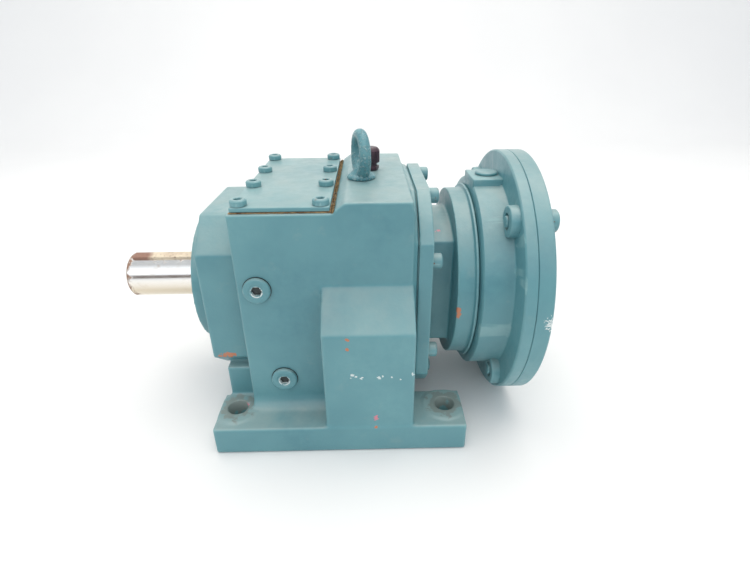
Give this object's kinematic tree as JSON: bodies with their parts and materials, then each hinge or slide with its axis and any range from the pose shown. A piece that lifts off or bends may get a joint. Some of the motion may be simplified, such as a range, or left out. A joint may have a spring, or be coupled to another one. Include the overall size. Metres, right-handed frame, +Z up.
{
  "type": "inline gear reducer",
  "caption": "Foot-mounted inline helical gear reducer with a keyed output shaft, a bolted inspection cover, a lifting eye and a round motor flange.",
  "frame": {"origin": "centre of the foot's underside, midway between the four foot holes and below the shaft axis", "axes": "+Z up, X along the shafts with the output shaft towards -X and the motor flange towards +X, -Y towards the side with the oil plugs"},
  "size_m": [0.3795, 0.239, 0.2558],
  "materials": {
    "teal_paint": "satin",
    "gasket": "matte",
    "dark_plastic": "satin",
    "seal_rubber": "matte",
    "bearing_steel": "polished",
    "gear_steel": "ground",
    "shaft_steel": "ground, with light rust",
    "key_steel": "rusty",
    "hub_iron": "machined",
    "spider_elastomer": "matte"
  },
  "bodies": {
    "reducer_body": {"gear_housing": "teal_paint", "inspection_cover": "teal_paint", "cover_gasket": "gasket", "cover_screw_1": "teal_paint", "cover_screw_2": "teal_paint", "cover_screw_3": "teal_paint", "cover_screw_4": "teal_paint", "cover_screw_5": "teal_paint", "cover_screw_6": "teal_paint", "cover_screw_7": "teal_paint", "cover_screw_8": "teal_paint", "lifting_eyebolt": "teal_paint", "breather_stem": "dark_plastic", "breather_cap": "dark_plastic", "oil_plug_upper": "teal_paint", "oil_plug_lower": "teal_paint", "input_housing": "teal_paint", "input_gasket": "gasket", "plate_screw_1": "teal_paint", "plate_screw_2": "teal_paint", "plate_screw_3": "teal_paint", "plate_screw_4": "teal_paint", "plate_screw_5": "teal_paint", "plate_screw_6": "teal_paint", "plate_screw_7": "teal_paint", "plate_screw_8": "teal_paint", "motor_bell": "teal_paint", "access_plug": "teal_paint", "adapter_ring": "teal_paint", "flange_screw_1": "teal_paint", "flange_screw_2": "teal_paint", "flange_screw_3": "teal_paint", "flange_screw_4": "teal_paint", "output_seal": "seal_rubber", "input_seal": "seal_rubber", "bearing_output_a_outer": "bearing_steel", "bearing_output_b_outer": "bearing_steel", "bearing_intermediate_c_outer": "bearing_steel", "bearing_intermediate_d_outer": "bearing_steel", "bearing_input_e_outer": "bearing_steel", "bearing_input_f_outer": "bearing_steel"},
    "output_train": {"output_shaft": "shaft_steel", "output_key": "key_steel", "output_gear": "gear_steel", "output_gear_key": "gear_steel", "bearing_output_a_inner": "bearing_steel", "bearing_output_b_inner": "bearing_steel"},
    "intermediate_train": {"intermediate_shaft": "gear_steel", "intermediate_gear": "gear_steel", "intermediate_gear_key": "gear_steel", "bearing_intermediate_c_inner": "bearing_steel", "bearing_intermediate_d_inner": "bearing_steel"},
    "input_train": {"input_shaft": "gear_steel", "coupling_hub_input": "hub_iron", "coupling_spider": "spider_elastomer", "coupling_hub_motor": "hub_iron", "bearing_input_e_inner": "bearing_steel", "bearing_input_f_inner": "bearing_steel"}
  },
  "joints": [
    {"name": "output_shaft_spin", "type": "hinge", "parent": "reducer_body", "child": "output_train", "pos_m": [0, 0, 0.118], "axis": [1, 0, 0], "continuous": true},
    {"name": "intermediate_spin", "type": "hinge", "parent": "reducer_body", "child": "intermediate_train", "pos_m": [0, -0.05091, 0.06709], "axis": [1, 0, 0], "continuous": true},
    {"name": "input_spin", "type": "hinge", "parent": "reducer_body", "child": "input_train", "pos_m": [0, 0, 0.118], "axis": [1, 0, 0], "continuous": true}
  ],
  "couplings": [
    {"joint": "intermediate_spin", "follows": "output_shaft_spin", "ratio": -3.4615},
    {"joint": "input_spin", "follows": "output_shaft_spin", "ratio": 9.9231}
  ]
}
